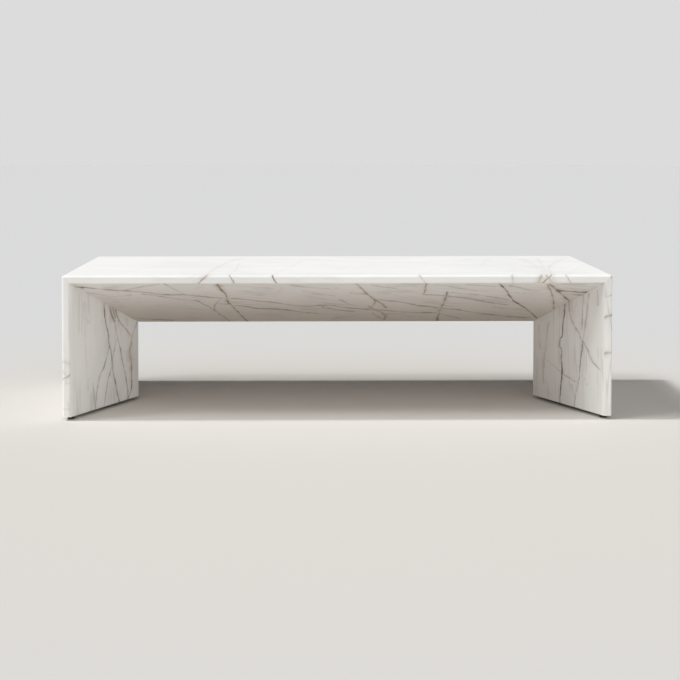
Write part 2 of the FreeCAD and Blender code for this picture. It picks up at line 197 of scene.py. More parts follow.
start_range = (0.0, 0.05)
end_range = (1.0, 0.93)
swell_range = (0.34, 0.66, 0.65, 1.7)
break_range = (0.36, 0.60, 0.42, 1.0)
core_rim = 0.85
core_heart = 0.05
halo_rim = 4.5


def make_vein_group():
    """From the gap to a vein's middle and the share of its length: its dark core and its pale halo. Swell and
    Breaks are noises that make it thick and thin, and dark and faint."""
    group = bpy.data.node_groups.new("vein_line", "ShaderNodeTree")
    for name in ("Gap", "Share", "Width", "Strength", "Swell", "Breaks"):
        group.interface.new_socket(name=name, in_out="INPUT", socket_type="NodeSocketFloat")
    for name in ("Core", "Halo"):
        group.interface.new_socket(name=name, in_out="OUTPUT", socket_type="NodeSocketFloat")
    tree = Tree(group)
    given = tree.add("NodeGroupInput").outputs
    gap = tree.math("ABSOLUTE", given["Gap"])
    started = tree.fade(given["Share"], *start_range)
    not_ended = tree.fade(given["Share"], *end_range)
    strength = tree.math("MULTIPLY", tree.math("MULTIPLY", started, not_ended), given["Strength"])
    width = tree.math("MULTIPLY", given["Width"], tree.fade(given["Swell"], *swell_range))
    core = tree.fade(gap, tree.math("MULTIPLY", width, core_rim), tree.math("MULTIPLY", width, core_heart))
    broken = tree.math("MULTIPLY", core, tree.fade(given["Breaks"], *break_range))
    halo = tree.fade(gap, tree.math("MULTIPLY", width, halo_rim), 0.0)
    tree.add("NodeGroupOutput", {
        "Core": tree.math("MULTIPLY", broken, strength),
        "Halo": tree.math("MULTIPLY", tree.math("MULTIPLY", halo, halo), strength),
    })
    return group


vein_group = make_vein_group()


def draw_vein(tree, vein, along, across, depth, swell, breaks):
    """Adds one vein to a material. It is a curve of whichever of along and across it runs in further."""
    leaning = along
    if vein.lean:
        leaning = tree.math("SUBTRACT", along, tree.math("MULTIPLY", depth, vein.lean))
    main, other = leaning, across
    points = sorted(vein.points)
    along_span, across_span = [max(values) - min(values) for values in zip(*points)]
    if across_span > along_span:
        main, other = across, leaning
        points = sorted((side, place) for place, side in points)
    start, end = points[0][0], points[-1][0]
    low = min(side for place, side in points)
    spread = max(side for place, side in points) - low + vein.width
    share = tree.math("DIVIDE", tree.math("SUBTRACT", main, start), end - start)
    curve = tree.add("ShaderNodeFloatCurve", {"Value": share})
    track = curve.mapping.curves[0].points
    shares = [((place - start) / (end - start), (side - low) / spread) for place, side in points]
    track[0].location = shares[0]
    track[1].location = shares[-1]
    for place in shares[1:-1]:
        track.new(*place)
    curve.mapping.update()
    path = tree.math("MULTIPLY_ADD", curve.outputs["Value"], spread, low)
    steepness = (points[-1][1] - points[0][1]) / (end - start)
    squareness = 1 / math.hypot(1, steepness, vein.lean)
    line = tree.add("ShaderNodeGroup", node_tree=vein_group)
    inputs = {
        "Gap": tree.math("MULTIPLY", tree.math("SUBTRACT", other, path), squareness),
        "Share": share,
        "Width": vein.width,
        "Strength": vein.strength,
        "Swell": swell,
        "Breaks": breaks,
    }
    for name, value in inputs.items():
        tree.feed(line.inputs[name], value)
    return line.outputs


halo_range = (0.36, 0.68, 0.05, 0.42)
ochre_range = (0.3, 0.6, 0.15, 0.8)


def draw_veins(tree, veins, along, across, depth, noises):
    """All veins of a piece: one dark core, one pale halo and one ochre halo, each of them patchy."""
    core, halo, ochre = 0.0, 0.0, 0.0
    for vein in veins:
        drawn = draw_vein(tree, vein, along, across, depth, noises["Red"], noises["Green"])
        core = tree.math("MAXIMUM", core, drawn["Core"])
        halo = tree.math("MAXIMUM", halo, drawn["Halo"])
        if vein.ochre:
            ochre = tree.math("MAXIMUM", ochre, tree.math("MULTIPLY", drawn["Halo"], vein.ochre))
    halo = tree.math("MULTIPLY", halo, tree.fade(noises["Blue"], *halo_range))
    ochre = tree.math("MULTIPLY", ochre, tree.fade(noises["Blue"], *ochre_range))
    return core, halo, ochre


noise_middle = 0.5
far_wander = 10 * mm
near_wander = 9 * mm


def wander(tree, place, slow, fast):
    """A place that two noises move about, so that what is drawn by it wanders."""
    far = tree.math("MULTIPLY", tree.math("SUBTRACT", slow, noise_middle), far_wander)
    near = tree.math("MULTIPLY", tree.math("SUBTRACT", fast, noise_middle), near_wander)
    return tree.math("ADD", place, tree.math("ADD", far, near))


hair_range = (0.47, 0.62)
hair_grain = {"detail": 3, "distortion": 0.25}
long_hair = {"stretching": (1, 13, 13), "scale": 2.2, "line_width": 0.050}
short_hair = {"stretching": (1, 3.2, 3.2), "scale": 4.5, "line_width": 0.016}
short_hair_strength = 0.8


def draw_hairs(tree, block, shown_by, stretching, scale, line_width):
    """Fine lines along the level lines of a stretched noise, broken up by another."""
    field = tree.noise(tree.stretch(block, stretching), scale=scale, **hair_grain)
    from_middle = tree.math("ABSOLUTE", tree.math("SUBTRACT", field, noise_middle))
    line = tree.fade(from_middle, line_width, 0.0)
    return tree.math("MULTIPLY", line, tree.fade(shown_by, *hair_range))


block_steps = (3.7, 1.9, 0.7)
slow_grain = {"scale": 7, "detail": 2}
middling_grain = {"scale": 24, "detail": 4}
fast_grain = {"scale": 70, "detail": 5}
edge_range = (6 * mm, 30 * mm)
cloud_stretching = (1, 1.8, 1.8)
cloud_grain = {"scale": 3.2, "detail": 5, "roughness": 0.55, "distortion": 0.6}
cloud_range = (0.36, 0.68)
streak_stretching = (1.2, 20, 20)
streak_grain = {"scale": 2.6, "detail": 6, "roughness": 0.62, "distortion": 0.2}
streak_range = (0.48, 0.74)
streak_patch_range = (0.36, 0.60)
polish_grain = {"scale": 90, "detail": 3}
polish_range = (0.3, 0.7, 0.40, 0.52)
pit_grain = {"scale": 420, "detail": 3}
pit_depth = 0.25 * mm
pit_strength = 0.25
marble_ior = 1.5


def make_marble(name, read_place, seed, soft_edge, veins, grain_turn, hair_strength, painted_ridge_shade=None,
                behind_edge=1.0):
    """The marble of one piece. read_place turns X, Y and Z into along, across and depth. seed picks its place
    in the block, and grain_turn turns its grain, in radians. soft_edge rounds the edge between a slab and its
    panel: a direction, and a function of across and depth that says how far the surface turns that way.
    An optional pair paints shade: the shares of beige blended in at the front edge and at the ridge, so that
    the panel darkens towards the ridge, where it lies in shade. Behind its front edge its veins keep the
    share behind_edge of their strength."""
    material = bpy.data.materials.new(name)
    material.use_nodes = True
    tree = Tree(material.node_tree)
    place = tree.add("ShaderNodeTexCoord").outputs["Object"]
    xyz = tree.add("ShaderNodeSeparateXYZ", {"Vector": place}).outputs
    along, across, depth = read_place(tree, *xyz)
    own_place = tree.add("ShaderNodeCombineXYZ", {"X": along, "Y": across, "Z": depth}).outputs["Vector"]
    block = tree.stretch(own_place, turn=grain_turn, shift=[seed * step for step in block_steps])
    slow = tree.three_noises(block, **slow_grain)
    middling = tree.three_noises(block, **middling_grain)
    fast = tree.three_noises(block, **fast_grain)

    clouds = tree.noise(tree.stretch(block, cloud_stretching), **cloud_grain)
    colour = tree.blend(tree.fade(clouds, *cloud_range), warm_white, cool_white)
    # Painted shade: the colour goes towards beige from the front edge in to the ridge, darkening the panel
    # where it lies in shade.
    if painted_ridge_shade:
        colour = tree.blend(tree.fade(across, 0.0, half_depth, *painted_ridge_shade), colour, halo_and_shade_beige)
    streaks = tree.noise(tree.stretch(block, streak_stretching), **streak_grain)
    streaked = tree.math("MULTIPLY", tree.fade(streaks, *streak_range),
                         tree.fade(slow["Blue"], *streak_patch_range))
    colour = tree.blend(tree.math("MULTIPLY", streaked, hair_strength), colour, streak_grey)

    bent_along = wander(tree, along, slow["Red"], fast["Red"])
    bent_across = wander(tree, across, slow["Green"], fast["Green"])
    core, halo, ochre = draw_veins(tree, veins, bent_along, bent_across, depth, middling)
    if behind_edge < 1:
        kept = tree.fade(across, *edge_range, 1.0, behind_edge)
        core, halo, ochre = [tree.math("MULTIPLY", part, kept) for part in (core, halo, ochre)]
    colour = tree.blend(halo, colour, halo_and_shade_beige)
    colour = tree.blend(ochre, colour, halo_ochre)

    long_hairs = draw_hairs(tree, block, slow["Red"], **long_hair)
    short_hairs = draw_hairs(tree, block, slow["Green"], **short_hair)
    hairs = tree.math("MAXIMUM", long_hairs, tree.math("MULTIPLY", short_hairs, short_hair_strength))
    colour = tree.blend(tree.math("MULTIPLY", hairs, hair_strength), colour, hair_grey)
    colour = tree.blend(core, colour, vein_brown)

    surface = material.node_tree.nodes["Principled BSDF"]
    tree.feed(surface.inputs["Base Color"], colour)
    polish = tree.noise(block, **polish_grain)
    tree.feed(surface.inputs["Roughness"], tree.fade(polish, *polish_range))
    direction, turned_by = soft_edge
    normal = tree.turned_normal(direction, turned_by(tree, across, depth))
    pits = tree.noise(block, **pit_grain)
    tree.feed(surface.inputs["Normal"], tree.bump(pits, pit_depth, pit_strength, normal))
    surface.inputs["IOR"].default_value = marble_ior
    return material


def dress(node_name, material):
    """Gives a piece of the frame its material, in place of the plain one that it came with."""
    mesh = nodes[node_name].data
    mesh.materials.clear()
    mesh.materials.append(material)


# The front panel under the top slopes from the slab's front edge down to the ridge. Long thin veins run along
# it, slowly nearing the ridge, and shorter ones cross them from edge to ridge. All are read off the
# photograph, as pixels with the width in millimetres, how dark the vein is and how ochre.

to_front = (0, -1, 0)
crisp_panel_edge = 6 * mm
under_low, under_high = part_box("front_under_panel")
under_front_edge = Vector((0, under_low.y, under_high.z))
under_slope = Vector((0, under_high.y, under_low.z)) - under_front_edge
under_normal = Vector((1, 0, 0)).cross(under_slope)


def read_top(tree, x, y, z):
    """Along the top from its middle, across from its front edge and down from its upper face."""
    return x, tree.math("ADD", y, half_depth), tree.math("SUBTRACT", table_height, z)


def rounded_panel(width):
    """Says how far a panel's surface turns, within a width of its outer edge."""
    def turned_by(tree, across, depth):
        return tree.fade(across, width, 0.0)

    return turned_by


def on_under_panel(pixel):
    place = seen_at(pixel, under_front_edge, under_normal)
    return place.x, place.y + half_depth


long_under_vein_pixels = [
    ([(62, 285.2), (73, 286.1), (92, 288), (107, 289.3), (131.5, 290.8), (149, 292.7), (162, 294.4),
      (182, 294.6), (195, 295.7), (213, 297.4), (236, 298.5), (260, 301)], 5.5, 0.75, 0.1),
    ([(70, 286.0), (84, 287.4)], 8, 1.1, 0.4),
    ([(103, 289), (119, 290.3)], 9, 1.1, 0.3),
    ([(139, 293.6), (149, 294.6), (168, 297.4), (183, 299.3), (199, 301)], 5, 0.55, 0.0),
    ([(107, 297), (119, 296), (132, 294.6)], 6, 0.35, 0.0),
    ([(85, 292.5), (100, 294.5), (112, 297)], 6, 0.30, 0.1),
    ([(127, 317.2), (150, 318.8), (176, 320)], 6, 0.55, 0.0),
    ([(215, 304.8), (220.7, 303.8), (236, 305.5), (245, 306.1), (259, 308.3), (271, 308.4), (282, 309.3),
      (297, 311.2), (311, 312.8), (324, 314)], 6, 0.75, 0.0),
    ([(262, 308.2), (273, 308.6)], 7, 0.6, 0.0),
    ([(240, 298.5), (248, 299.5), (260, 301), (273, 302.3), (287, 304.2), (297, 305.5), (309, 306.1),
      (324, 304.8), (342, 306.8), (360, 308.7), (375, 309.4)], 6, 0.65, 0.1),
    ([(240, 304.9), (256, 304.2), (272, 303.6)], 5, 0.35, 0.0),
    ([(321, 306.1), (332, 308.9), (346, 310.6), (356, 311.2)], 7, 0.7, 0.0),
    ([(288, 284.4), (304, 286.4), (322, 288.3), (331, 288.4)], 5, 0.35, 0.0),
    ([(301, 290.8), (322, 294), (337, 295.9)], 5, 0.30, 0.0),
    ([(339, 298.5), (346, 302.3), (352, 304.8), (363, 306.2)], 5, 0.45, 0.0),
    ([(349, 292.7), (357, 293.4), (367, 294)], 6, 0.6, 0.0),
    ([(329, 319.5), (339, 317.6), (350, 316.3), (361, 313.8)], 6, 0.35, 0.0),
    ([(370, 284.4), (383, 287), (398, 288.3)], 5, 0.35, 0.0),
    ([(375, 299.1), (393, 301), (406, 302.9), (419, 305.3), (430, 306.4), (440, 308), (458, 309.3),
      (468, 311.2), (481, 313.1), (499, 315.3), (517, 317), (533, 317.7)], 6, 0.75, 0.1),
    ([(372, 309.3), (390, 310.6), (403, 311.9), (419, 312.5), (433, 312.6), (448, 315.5), (463, 319)],
     6.5, 0.75, 0.0),
    ([(384, 313.8), (400, 313.8), (410, 316.3), (431, 316.4)], 5, 0.35, 0.0),
    ([(420, 294.6), (433, 294.6), (447, 295.7), (462, 297.4), (475, 299.5), (491, 302.3), (510, 304.9)],
     5.5, 0.6, 0.0),
    ([(433, 284.4), (445, 285.7), (462, 288.3), (478, 290.9)], 5, 0.35, 0.0),
    ([(464, 284.4), (481, 285.7), (497, 287)], 5, 0.30, 0.0),
    ([(449, 292.1), (471, 294), (491, 296.6), (504, 299.1), (512, 299.8)], 5.5, 0.45, 0.0),
    ([(491, 305.5), (509, 308.5), (528, 308.8)], 6, 0.35, 0.0),
    ([(508, 285.7), (517, 287), (531, 290.2), (543, 290.7)], 7, 0.45, 0.1),
    ([(555, 290.2), (563, 291), (570.5, 291.5), (579, 292.1), (590, 292.5)], 10, 1.0, 0.4),
    ([(560, 294.6), (568, 294), (575, 294.2), (584, 295.4)], 6, 1.0, 0.4),
    ([(573, 294.3), (584, 295.4)], 8, 0.9, 0.3),
]
crossing_under_vein_pixels = [
    ([(121, 290.8), (139, 287), (161, 283.4)], 3, 0.45, 0.3),
    ([(163, 283.0), (170, 287), (179, 291.6), (188, 295.4)], 3, 0.55, 0.1),
    ([(195, 299.6), (204, 304.2), (213, 308.9), (220.7, 314.4), (231, 322)], 3.2, 0.9, 0.0),
    ([(216.5, 283.2), (219.4, 287), (222, 290.8), (225.8, 294.6), (227.1, 298.5), (229.3, 304.5)],
     3.6, 0.95, 0.9),
    ([(228.6, 302), (232.2, 306.1), (238.6, 312.5), (248.5, 322.4)], 3.4, 1.0, 0.2),
    ([(222, 298.4), (217, 302.5), (215, 304.8), (214.3, 310.2)], 3, 0.65, 0.0),
    ([(356, 283), (362.4, 289.5), (367.6, 294.6), (373.9, 299.1), (380.3, 302.9), (386, 308.6)],
     3.4, 0.9, 0.3),
    ([(375.4, 299.4), (373.5, 304), (367.4, 308.9)], 3, 0.55, 0.9),
    ([(367.4, 305.3), (375.2, 310), (381.6, 312.5), (385.4, 316.3), (382.6, 320.4)], 3.4, 0.75, 0.9),
    ([(372.4, 312.3), (377.8, 316.3), (382, 319.2)], 3, 0.55, 0.6),
    ([(498.4, 282.6), (502.9, 287), (509.3, 295.9), (512.5, 299.7), (520.8, 305.5), (528.4, 310.6),
      (538, 319.6)], 3.6, 1.15, 0.0),
    ([(547, 284), (551.4, 293.4), (553.3, 301), (553.7, 310)], 3.6, 0.75, 0.3),
    ([(547.5, 283.2), (555.2, 288.3), (560.3, 293.4), (566.7, 298.5), (571, 303)], 4.8, 0.9, 0.3),
    ([(426.8, 282.6), (425.1, 289.5), (423, 295)], 3, 0.7, 0.2),
    ([(445.3, 290.4), (446.1, 297.2), (443, 304.8), (439.1, 312.5), (437.6, 321.5)], 3.4, 0.85, 0.4),
    ([(437.9, 312.9), (436.2, 321)], 4, 0.6, 0.2),
]


def veins_from_pixels(pixel_lists, on_panel):
    return [Vein([on_panel(pixel) for pixel in pixels], width * mm, strength, ochre)
            for pixels, width, strength, ochre in pixel_lists]


under_cut = {
    "veins": veins_from_pixels(long_under_vein_pixels + crossing_under_vein_pixels, on_under_panel),
    "grain_turn": math.radians(-12),
    "hair_strength": 0.38,
    # Painted shade: beige blended in from a share of 0.12 at the front edge to 0.95 at the ridge.
    "painted_ridge_shade": (0.12, 0.95),
}
crisp_front_edge = (to_front, rounded_panel(crisp_panel_edge))
dress("front_under_panel", make_marble("marble_front_under", read_top, 1, crisp_front_edge, **under_cut))


# The front panels inside the legs slope from the leg's front edge in to the ridge, and their grain runs down
# the leg. The left one has crossing veins from the mitre down, the right one a dark vein that wanders
# straight down. They are read off the photograph too.

soft_panel_edge = 13 * mm


def read_left_leg(tree, x, y, z):
    """Down the left leg from the top, across from its front edge and in from its outer face."""
    down = tree.math("SUBTRACT", table_height, z)
    return down, tree.math("ADD", y, half_depth), tree.math("ADD", x, half_length)


def read_right_leg(tree, x, y, z):
    down = tree.math("SUBTRACT", table_height, z)
    return down, tree.math("ADD", y, half_depth), tree.math("SUBTRACT", half_length, x)


def make_leg_reader(panel, ridge_on_right):
    """A function that turns a pixel into a place down and across the front panel inside a leg."""
    low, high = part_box(panel)
    outer_x, ridge_x = (low.x, high.x) if ridge_on_right else (high.x, low.x)
    front_edge = Vector((outer_x, low.y, 0))
    slope = Vector((ridge_x, high.y, 0)) - front_edge
    normal = slope.cross(Vector((0, 0, 1)))

    def on_leg(pixel):
        place = seen_at(pixel, front_edge, normal)
        return table_height - place.z, place.y + half_depth

    return on_leg


on_left_leg = make_leg_reader("left_leg_front_panel", True)
on_right_leg = make_leg_reader("right_leg_front_panel", False)

left_leg_vein_pixels = [
    ([(103, 298), (104, 304.8), (105.3, 319), (107.8, 333), (109.1, 344.4), (111, 354.6), (112, 363.5),
      (112.6, 370), (115.5, 384), (119.2, 402), (121, 412)], 4.2, 1.0, 0.0),
    ([(109, 303), (111, 313.8), (114.8, 324), (117.4, 336.7), (120.6, 352), (123.1, 364.8), (125.7, 377.6),
      (127.2, 388), (129, 405)], 3.6, 0.8, 0.0),
    ([(108.6, 304), (111, 313), (115, 323)], 8, 0.6, 0.5),
    ([(112, 304), (113.6, 312), (116.4, 319)], 5, 0.5, 0.5),
    ([(114.5, 306), (118.7, 320.2), (123.8, 326.5), (129.5, 334.2), (131.6, 339)], 3.6, 0.65, 0.3),
    ([(137, 321), (133.3, 333), (131.2, 340)], 3.6, 0.7, 0.2),
    ([(131.4, 337), (131.2, 344.4), (129.7, 350.8), (130.5, 358.4), (131.4, 367.3), (131.4, 384),
      (130.8, 390.3), (128, 398), (126.8, 407)], 4.2, 0.75, 0.8),
    ([(129.6, 349), (130.2, 356), (131, 362)], 9, 0.5, 1.0),
    ([(109.2, 343), (107.2, 354.6), (104, 366), (99.5, 376.3), (97, 388), (95.6, 399), (94.6, 413)],
     3.6, 0.65, 0.0),
    ([(112.6, 365), (107.8, 380), (105.9, 393), (103.8, 406), (102.5, 417)], 4.2, 0.95, 0.0),
    ([(92.4, 383), (93.4, 394), (93.4, 407)], 4.5, 0.4, 0.0),
    ([(117.5, 337), (113.6, 350.8), (112, 360)], 4, 0.45, 0.2),
    ([(126.2, 317.5), (127.8, 326)], 4, 0.4, 0.0),
    ([(127, 386), (129, 394)], 4, 0.45, 0.2),
    ([(84, 300), (85, 340), (88, 395)], 9, 0.12, 0.0),
]
right_leg_vein_pixels = [
    ([(564.3, 299), (564.1, 313.8), (563.1, 326.5), (563.1, 333), (560.9, 339.3), (560.2, 345.7),
      (562.3, 352), (561.4, 361), (562.3, 370), (560.9, 382.7), (559.6, 404), (558.8, 414)], 4.6, 1.15, 0.0),
    ([(565.8, 300), (565.2, 309), (563.6, 322)], 5, 0.6, 0.3),
    ([(561.4, 340), (559.6, 344.5), (561, 349)], 4, 0.8, 0.2),
    ([(569, 298), (569.9, 313.8), (573.1, 322.7), (578.2, 331.6), (582, 340.6), (587.1, 349.5),
      (590.9, 359.7), (597.3, 367.3), (602, 373.4)], 3.8, 0.55, 0.4),
    ([(582.8, 340), (582, 350.8), (580.1, 364.8), (579.4, 377.6), (577.5, 387.8), (574.8, 401), (573, 413)],
     3.8, 0.7, 0.0),
    ([(562.5, 374), (570.5, 378.8), (578.6, 383.6)], 3, 0.35, 0.0),
    ([(545.6, 358), (555.2, 367), (563.2, 373.4)], 3, 0.2, 0.0),
    ([(549, 320), (546.3, 341.8), (543.7, 364.8), (543.1, 386)], 6, 0.3, 0.2),
    ([(538.4, 324), (540, 349)], 7, 0.2, 0.6),
    ([(583.6, 293), (582.6, 310), (582, 332)], 5, 0.45, 0.3),
    ([(589.2, 291), (586, 318), (583, 342)], 5, 0.35, 0.2),
    ([(597.4, 289), (598, 306)], 6, 0.3, 0.0),
    ([(571.6, 384), (575, 400)], 4, 0.3, 0.0),
]
left_cut = {
    "veins": veins_from_pixels(left_leg_vein_pixels, on_left_leg),
    "grain_turn": 0.03,
    "hair_strength": 0.25,
}
right_cut = {
    "veins": veins_from_pixels(right_leg_vein_pixels, on_right_leg),
    "grain_turn": 0.02,
    "hair_strength": 0.33,
    # Painted shade: beige blended in towards the ridge, up to a share of 0.4.
    "painted_ridge_shade": (0.0, 0.4),
}
soft_front_edge = (to_front, rounded_panel(soft_panel_edge))
dress("left_leg_front_panel", make_marble("marble_left_front", read_left_leg, 2, soft_front_edge, **left_cut))
dress("right_leg_front_panel",
      make_marble("marble_right_front", read_right_leg, 3, soft_front_edge, **right_cut))


# The rear panels are the same cut, opened like a book from the front ones: the veins under the top run the
# other way along, and the legs' have changed sides.

to_rear = (0, 1, 0)


def read_from_rear(read_place, turned_along=False):
    """Reads across from the rear edge instead of the front one."""
    def read_place_behind(tree, x, y, z):
        along, across, depth = read_place(tree, x, y, z)
        if turned_along:
            along = tree.math("MULTIPLY", along, -1)
        return along, tree.math("SUBTRACT", 2 * half_depth, across), depth

    return read_place_behind


behind_top = read_from_rear(read_top, turned_along=True)
behind_left = read_from_rear(read_left_leg)
behind_right = read_from_rear(read_right_leg)
crisp_rear_edge = (to_rear, rounded_panel(crisp_panel_edge))
soft_rear_edge = (to_rear, rounded_panel(soft_panel_edge))
dress("rear_under_panel", make_marble("marble_rear_under", behind_top, 4, crisp_rear_edge, **under_cut))
dress("left_leg_rear_panel", make_marble("marble_left_rear", behind_left, 5, soft_rear_edge, **right_cut))
dress("right_leg_rear_panel", make_marble("marble_right_rear", behind_right, 6, soft_rear_edge, **left_cut))


# The top slab is the palest piece. Its few veins show on the front edge, where the saw has cut them into
# short slanting strokes, and only as a breath of grey on the top. The last number of each is its lean.

slab_thickness = 22 * mm
slab_edge_turn = 0.66
downwards = (0, 0, -1)
crisp_slab_edge = 3 * mm


def rounded_slab(width):
    """Says how far the face of a slab's edge turns, within a width of the panel."""
    def turned_by(tree, across, depth):
        return tree.fade(depth, slab_thickness - width, slab_thickness, 0.0, slab_edge_turn)

    return turned_by


def on_top(pixel):
    place = seen_at(pixel, Vector((0, 0, table_height)), Vector((0, 0, 1)))
    return place.x, place.y + half_depth


top_vein_pixels = [
    ([(205, 279), (206, 276.5), (213, 270), (229, 262), (246, 257)], 3.2, 0.75, 0.7, -1.1),
    ([(227, 279), (228.4, 276.3), (237, 268), (239, 262)], 3, 0.8, 0.1, 0.6),
    ([(270, 279), (271.4, 276.3), (275.7, 273.6), (291, 266.6), (303.8, 260.2)], 3, 0.9, 0.0, 0.52),
    ([(416, 279), (417.3, 276.3), (430, 271), (444, 266.6), (462, 260.8), (471, 257.7)], 3.2, 0.5, 0.0, 0.8),
    ([(554, 279), (552.7, 276.3), (549, 268), (556, 262), (567, 257.7)], 3.2, 1.0, 0.3, -1.2),
    ([(542, 279), (541.4, 276.3), (539, 268), (520, 258)], 8, 0.45, 0.9, -0.4),
    ([(547.5, 279), (547, 276.3), (544, 268), (536, 257)], 6, 0.5, 0.9, 0.8),
    ([(562, 279), (564, 276.6), (575, 270), (586, 264)], 3, 0.55, 0.0, 0.68),
    ([(511.6, 279), (512.2, 276.5), (513, 270), (518, 262)], 4, 0.3, 0.0, 0.1),
    ([(481, 265), (486, 261), (491, 257.7)], 4, 0.6, 0.0, 0.0),
    ([(526, 265), (536, 267.5), (548, 269)], 30, 0.3, 0.0, 0.0),
    ([(120, 270), (180, 266), (250, 264), (330, 258)], 20, 0.25, 0.0, 0.0),
]
top_cut = {
    "veins": [Vein([on_top(pixel) for pixel in pixels], width * mm, strength, ochre, lean)
              for pixels, width, strength, ochre, lean in top_vein_pixels],
    "grain_turn": math.radians(4),
    "hair_strength": 0.10,
    "behind_edge": 0.18,
}
crisp_lower_edge = (downwards, rounded_slab(crisp_slab_edge))
dress("top_slab", make_marble("marble_top", read_top, 7, crisp_lower_edge, **top_cut))


# The leg slabs carry on from the top at the mitres. Their outer faces have a few long veins that slant down,
# placed by shares of the leg's height and of the table's depth. Short marks show on the front edges, each by
# its distance down in millimetres, its width, how dark and how ochre it is, and its lean.

leg_vein_shares = [
    ([(0.02, 0.22), (0.30, 0.27), (0.62, 0.38), (1.0, 0.45)], 4, 0.6, 0.3, 0.4),
    ([(0.0, 0.30), (0.35, 0.36), (0.70, 0.34), (1.0, 0.30)], 3.5, 0.4, 0.1, 0.4),
    ([(0.30, 0.10), (0.46, 0.24), (0.60, 0.40)], 3.5, 0.45, 0.2, 0.5),
    ([(0.50, 0.10), (0.40, 0.25), (0.28, 0.42)], 3.5, 0.45, 0.5, -0.3),
    ([(0.0, 0.62), (0.28, 0.66), (0.60, 0.78), (1.0, 0.86)], 4, 0.65, 0.3, 0.3),
    ([(0.05, 0.80), (0.40, 0.74), (0.75, 0.60), (1.0, 0.52)], 3.5, 0.5, 0.1, 0.3),
]
left_edge_marks = [(236, 4, 0.28, 0.5, 0.3), (262, 4, 0.12, 0.5, 0.9), (287, 3.5, 0.5, 0.2, -0.6),
                   (366, 4, 0.15, 0.3, 0.1)]
right_edge_marks = [(4, 3, 0.5, 0.0, 0.2), (54, 4, 0.25, 0.3, 0.2), (109, 4.5, 0.65, 0.3, 0.3),
                    (158, 3, 0.25, 0.5, -5.7), (212, 4.5, 0.6, 0.3, 0.2), (219, 3, 0.25, 0.2, -0.2)]
mark_reach = 28 * mm
mark_slant = 4 * mm
soft_slab_edge = 6.5 * mm
to_left = (-1, 0, 0)
to_right = (1, 0, 0)


def cut_leg_slab(upside_down, edge_marks):
    """The veins and grain of a leg slab. Both have the same long veins, in the one upside down."""
    veins = []
    for shares, width, strength, ochre, lean in leg_vein_shares:
        points = []
        for down_share, across_share in shares:
            if upside_down:
                down_share = 1 - down_share
            points.append((down_share * table_height, across_share * 2 * half_depth))
        veins.append(Vein(points, width * mm, strength, ochre, lean))
    for down, width, strength, ochre, lean in edge_marks:
        start = (down * mm - mark_slant, -mark_reach)
        end = ((down + width) * mm + mark_slant, mark_reach)
        veins.append(Vein([start, end], width * mm, strength, ochre, lean))
    return {"veins": veins, "grain_turn": 0.05, "hair_strength": 0.35}


left_slab_cut = cut_leg_slab(False, left_edge_marks)
right_slab_cut = cut_leg_slab(True, right_edge_marks)
left_inner_edge = (to_right, rounded_slab(soft_slab_edge))
right_inner_edge = (to_left, rounded_slab(soft_slab_edge))
dress("left_leg_slab", make_marble("marble_left_slab", read_left_leg, 8, left_inner_edge, **left_slab_cut))
dress("right_leg_slab",
      make_marble("marble_right_slab", read_right_leg, 9, right_inner_edge, **right_slab_cut))


# The frame inside the stone is welded aluminium tube with sawn ribs, angles and base plates, left as it came
# from the mill, with fine drawn lines and a dull oxide bloom.

mill_grey = (0.56, 0.57, 0.58, 1)
oxide_grey = (0.44, 0.45, 0.46, 1)
mill_lines = (60, 900, 900)
mill_roughness = (0.38, 0.55)
bloom_grain = {"scale": 14, "detail": 4}
line_grain = {"scale": 1, "detail": 4, "roughness": 0.6}
bloom_share = 0.6
metal_range = (0.35, 0.65)
line_range = (0.3, 0.7)
line_depth = 0.2 * mm
line_strength = 0.2


def make_metal(name, first, second, line_stretching, roughness):
    """A metal with fine lines from its making and a cloudy bloom over them."""
    material = bpy.data.materials.new(name)
    material.use_nodes = True
    tree = Tree(material.node_tree)
    place = tree.add("ShaderNodeTexCoord").outputs["Object"]
    bloom = tree.noise(place, **bloom_grain)
    lines = tree.noise(tree.stretch(place, line_stretching), **line_grain)
    marked = tree.math("ADD", tree.math("MULTIPLY", bloom, bloom_share),
                       tree.math("MULTIPLY", lines, 1 - bloom_share))
    surface = material.node_tree.nodes["Principled BSDF"]
    surface.inputs["Metallic"].default_value = 1.0
    tree.feed(surface.inputs["Base Color"], tree.blend(tree.fade(marked, *metal_range), first, second))
    tree.feed(surface.inputs["Roughness"], tree.fade(lines, *line_range, *roughness))
    tree.feed(surface.inputs["Normal"], tree.bump(lines, line_depth, line_strength))
    return material


aluminium = make_metal("mill_aluminium", mill_grey, oxide_grey, mill_lines, mill_roughness)
frame_words = ("frame_", "_rib", "_angle", "_base_plate", "_plug")
for node_name in nodes:
    if any(word in node_name for word in frame_words) and not node_name.endswith("_screws"):
        dress(node_name, aluminium)


# The screws, the feet's threaded inserts and the feet's stems are stainless steel, turned and bright, with
# fine rings from the tool.

steel_light = (0.60, 0.60, 0.59, 1)
steel_dark = (0.50, 0.50, 0.49, 1)
tool_rings = (90, 90, 2500)
turned_roughness = (0.22, 0.36)

turned_steel = make_metal("stainless_steel", steel_light, steel_dark, tool_rings, turned_roughness)
for node_name in nodes:
    if node_name.endswith(("_screws", "_insert", "_stem")):
        dress(node_name, turned_steel)


# The stems have a real M8 thread in place of the plain cylinder, which shows when a foot is screwed out: the
# outline of its flanks, turned once round while it climbs one pitch. Below it are a hexagon collar with
# broken edges and the spigot that turns in the foot pad.

thread_radius = 4 * mm
thread_pitch = 1.25 * mm
thread_depth = 0.767 * mm
thread_outline = ((0.125, thread_depth), (0.4375, 0), (0.5625, 0), (0.875, thread_depth))
spare_turns_below = 2
spare_turns_above = 1
spigot_radius = 3 * mm
collar_sides = 6
collar_bevel = 0.35 * mm
turn_steps = 36
smooth_below = math.radians(25)


